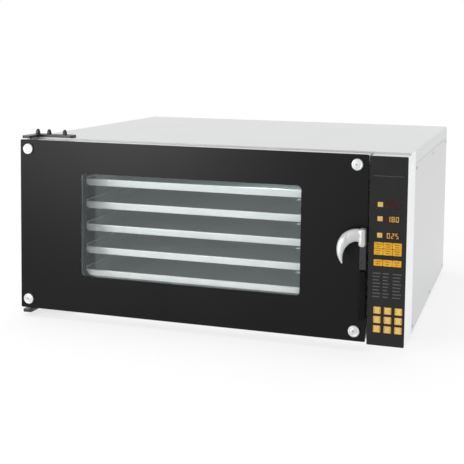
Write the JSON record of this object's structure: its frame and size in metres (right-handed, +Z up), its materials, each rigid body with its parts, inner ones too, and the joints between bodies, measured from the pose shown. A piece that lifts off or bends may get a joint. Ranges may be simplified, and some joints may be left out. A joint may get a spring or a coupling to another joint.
{
  "type": "electric convection oven",
  "caption": "Wide countertop electric convection oven with a side-hinged black glass door, chrome claw handle, tall control strip with keys, and trays on rails before rear fans.",
  "frame": {"origin": "on the floor under the middle of the outer box", "axes": "+X right seen from the front, +Y to the back, +Z up"},
  "size_m": [1.1444, 1.089, 0.558],
  "materials": {
    "casing_steel": "brushed stainless sheet",
    "cavity_steel": "stainless sheet",
    "tray_aluminium": "bright aluminium",
    "black_paint": "black enamel",
    "clear_glass": "clear glass",
    "black_coat": "black coating fired on the glass",
    "chrome": "polished chrome",
    "black_gloss": "gloss black",
    "black_rubber": "matt rubber",
    "mineral_wool": "mineral wool",
    "motor_paint": "dark grey paint",
    "fastener_steel": "plated steel",
    "grey_plastic": "grey nylon",
    "board_green": "circuit board",
    "amber_lens": "amber lens",
    "dark_red_lens": "dark red lens",
    "key_yellow": "pale yellow keys"
  },
  "bodies": {
    "cabinet": {"base_pan": "casing_steel", "feet": "black_rubber", "front_frame": "casing_steel", "top_cover": "casing_steel", "left_side_panel": "casing_steel", "right_side_panel": "casing_steel", "rear_panel": "casing_steel", "casing_screws": "fastener_steel", "cavity": "cavity_steel", "insulation": "mineral_wool", "fan_motor_left": "motor_paint", "fan_motor_right": "motor_paint", "heater_left": "cavity_steel", "heater_right": "cavity_steel", "fan_baffle": "cavity_steel", "rack_left": "cavity_steel", "rack_right": "cavity_steel", "lamp_holder": "cavity_steel", "lamp_bulb": "clear_glass", "lamp_glass": "clear_glass", "temperature_probe": "cavity_steel", "exhaust_pipe": "cavity_steel", "cable_gland": "grey_plastic", "door_gasket": "black_rubber", "hinge_strap_top": "black_paint", "hinge_strap_low": "black_paint", "hinge_bolts": "black_paint", "latch_keeper": "fastener_steel", "control_housing": "casing_steel", "control_overlay": "black_gloss", "control_board": "board_green", "indicator_lamps": "amber_lens", "digit_displays": "dark_red_lens", "programme_fields": "amber_lens"},
    "door": {"door_glass": "clear_glass", "door_mask": "black_coat", "door_frame": "casing_steel", "inner_glass": "clear_glass", "glass_caps": "chrome", "hinge_bushes": "fastener_steel", "handle_plate": "chrome", "latch_cover": "black_gloss"},
    "handle": {"handle_lever": "chrome", "handle_spindle": "fastener_steel"},
    "fan_left": {"fan_wheel_left": "cavity_steel"},
    "fan_right": {"fan_wheel_right": "cavity_steel"},
    "tray_1": {"tray_1": "tray_aluminium"},
    "tray_2": {"tray_2": "tray_aluminium"},
    "tray_3": {"tray_3": "tray_aluminium"},
    "tray_4": {"tray_4": "tray_aluminium"},
    "tray_5": {"tray_5": "tray_aluminium"},
    "key_1": {"key_1": "key_yellow"},
    "key_2": {"key_2": "key_yellow"},
    "key_3": {"key_3": "key_yellow"},
    "key_4": {"key_4": "key_yellow"},
    "key_5": {"key_5": "key_yellow"},
    "key_6": {"key_6": "key_yellow"},
    "key_7": {"key_7": "key_yellow"},
    "key_8": {"key_8": "key_yellow"},
    "key_9": {"key_9": "key_yellow"}
  },
  "joints": [
    {"name": "door_swing", "type": "hinge", "parent": "cabinet", "child": "door", "pos_m": [-0.556, -0.4615, 0.28], "axis": [0, 0, -1], "range_deg": [0, 120]},
    {"name": "handle_turn", "type": "hinge", "parent": "door", "child": "handle", "pos_m": [0.457, -0.4975, 0.314], "axis": [0, 1, 0], "range_deg": [0, 70]},
    {"name": "fan_left_spin", "type": "hinge", "parent": "cabinet", "child": "fan_left", "pos_m": [-0.24, 0.1605, 0.2715], "axis": [0, 1, 0], "continuous": true},
    {"name": "fan_right_spin", "type": "hinge", "parent": "cabinet", "child": "fan_right", "pos_m": [0.1, 0.1605, 0.2715], "axis": [0, 1, 0], "continuous": true},
    {"name": "tray_1_slide", "type": "slide", "parent": "cabinet", "child": "tray_1", "axis": [0, -1, 0], "range_m": [0, 0.025]},
    {"name": "tray_2_slide", "type": "slide", "parent": "cabinet", "child": "tray_2", "axis": [0, -1, 0], "range_m": [0, 0.025]},
    {"name": "tray_3_slide", "type": "slide", "parent": "cabinet", "child": "tray_3", "axis": [0, -1, 0], "range_m": [0, 0.025]},
    {"name": "tray_4_slide", "type": "slide", "parent": "cabinet", "child": "tray_4", "axis": [0, -1, 0], "range_m": [0, 0.025]},
    {"name": "tray_5_slide", "type": "slide", "parent": "cabinet", "child": "tray_5", "axis": [0, -1, 0], "range_m": [0, 0.025]},
    {"name": "key_1_press", "type": "slide", "parent": "cabinet", "child": "key_1", "axis": [0, 1, 0], "range_m": [0, 0.0012], "stiffness_N_per_m": 500},
    {"name": "key_2_press", "type": "slide", "parent": "cabinet", "child": "key_2", "axis": [0, 1, 0], "range_m": [0, 0.0012], "stiffness_N_per_m": 500},
    {"name": "key_3_press", "type": "slide", "parent": "cabinet", "child": "key_3", "axis": [0, 1, 0], "range_m": [0, 0.0012], "stiffness_N_per_m": 500},
    {"name": "key_4_press", "type": "slide", "parent": "cabinet", "child": "key_4", "axis": [0, 1, 0], "range_m": [0, 0.0012], "stiffness_N_per_m": 500},
    {"name": "key_5_press", "type": "slide", "parent": "cabinet", "child": "key_5", "axis": [0, 1, 0], "range_m": [0, 0.0012], "stiffness_N_per_m": 500},
    {"name": "key_6_press", "type": "slide", "parent": "cabinet", "child": "key_6", "axis": [0, 1, 0], "range_m": [0, 0.0012], "stiffness_N_per_m": 500},
    {"name": "key_7_press", "type": "slide", "parent": "cabinet", "child": "key_7", "axis": [0, 1, 0], "range_m": [0, 0.0012], "stiffness_N_per_m": 500},
    {"name": "key_8_press", "type": "slide", "parent": "cabinet", "child": "key_8", "axis": [0, 1, 0], "range_m": [0, 0.0012], "stiffness_N_per_m": 500},
    {"name": "key_9_press", "type": "slide", "parent": "cabinet", "child": "key_9", "axis": [0, 1, 0], "range_m": [0, 0.0012], "stiffness_N_per_m": 500}
  ]
}
